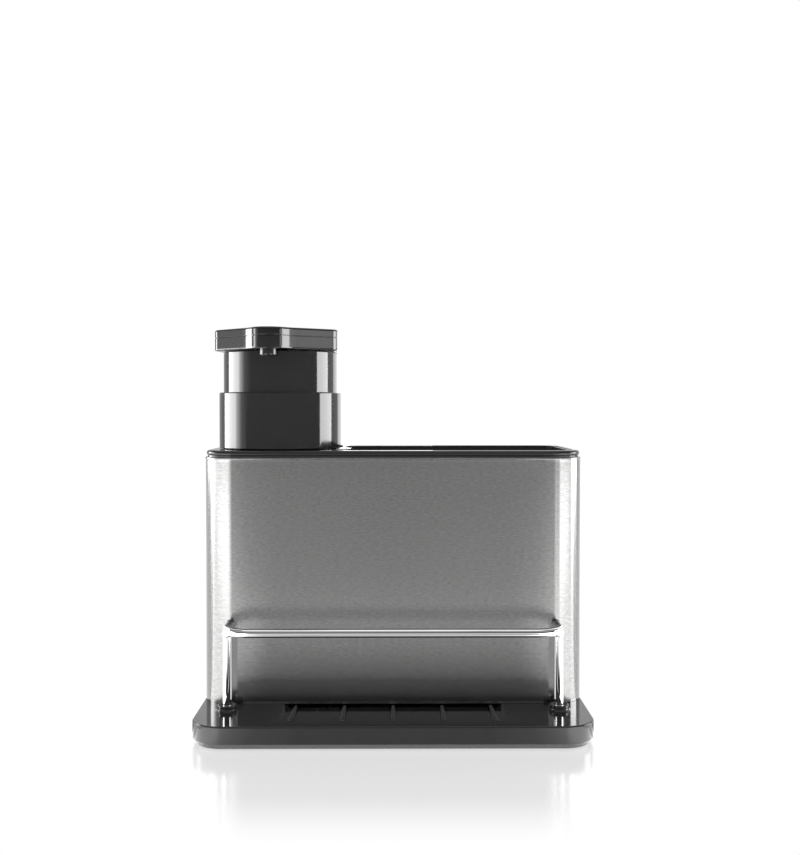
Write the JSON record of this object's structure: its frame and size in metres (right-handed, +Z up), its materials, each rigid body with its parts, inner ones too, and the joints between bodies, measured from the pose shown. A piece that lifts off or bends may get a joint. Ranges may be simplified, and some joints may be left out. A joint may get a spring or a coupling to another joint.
{
  "type": "kitchen sink caddy",
  "caption": "Brushed steel sink caddy with a press-top soap dispenser, a lift-out cutlery cup and a wire rail that holds a sponge on the draining ledge of its tray",
  "frame": {"origin": "centre of the footprint at the bottom of the foot", "axes": "+X to the viewer's right, front faces -Y, +Z up"},
  "size_m": [0.2134, 0.135, 0.222],
  "materials": {
    "dark_gloss": "polished moulded plastic",
    "grey_rubber": "matt moulded rubber",
    "sleeve_steel": "fine horizontal brushing",
    "small_steel": "plain bright steel",
    "rail_chrome": "polished",
    "cup_plastic": "fine matt moulding",
    "clear_plastic": "milky translucent blow moulding",
    "black_rubber": "soft flat washer",
    "natural_plastic": "plain uncoloured moulding"
  },
  "bodies": {
    "caddy": {"base_tray": "dark_gloss", "foot_ring": "grey_rubber", "steel_sleeve": "sleeve_steel", "sleeve_screws": "small_steel", "sponge_rail": "rail_chrome", "rail_screws": "small_steel", "rail_nuts": "small_steel", "top_frame": "dark_gloss"},
    "cup": {"cutlery_cup": "cup_plastic"},
    "bottle": {"soap_bottle": "clear_plastic"},
    "pump": {"neck_gasket": "black_rubber", "neck_closure": "cup_plastic", "dispenser_collar": "dark_gloss", "pump_cylinder": "natural_plastic", "inlet_ball": "small_steel", "dip_tube": "natural_plastic", "stem_guide": "natural_plastic"},
    "plunger": {"piston": "natural_plastic", "return_spring": "small_steel", "pump_stem": "natural_plastic", "outlet_ball": "small_steel", "pump_skirt": "dark_gloss"},
    "head": {"cap_base": "dark_gloss", "spout_channel": "natural_plastic", "nozzle": "dark_gloss", "cap_cover": "dark_gloss"}
  },
  "joints": [
    {"name": "cup_lift", "type": "slide", "parent": "caddy", "child": "cup", "axis": [0, 0, 1], "range_m": [0, 0.145]},
    {"name": "bottle_lift", "type": "slide", "parent": "caddy", "child": "bottle", "axis": [0, 0, 1], "range_m": [0, 0.145]},
    {"name": "pump_lift", "type": "slide", "parent": "bottle", "child": "pump", "axis": [0, 0, 1], "range_m": [0, 0.14]},
    {"name": "pump_press", "type": "slide", "parent": "pump", "child": "plunger", "axis": [0, 0, -1], "range_m": [0, 0.016], "stiffness_N_per_m": 350, "springref_m": -0.02, "deforming": ["return_spring"]},
    {"name": "head_swivel", "type": "hinge", "parent": "plunger", "child": "head", "pos_m": [-0.0662, 0.0222, 0.21], "axis": [0, 0, 1], "continuous": true}
  ]
}
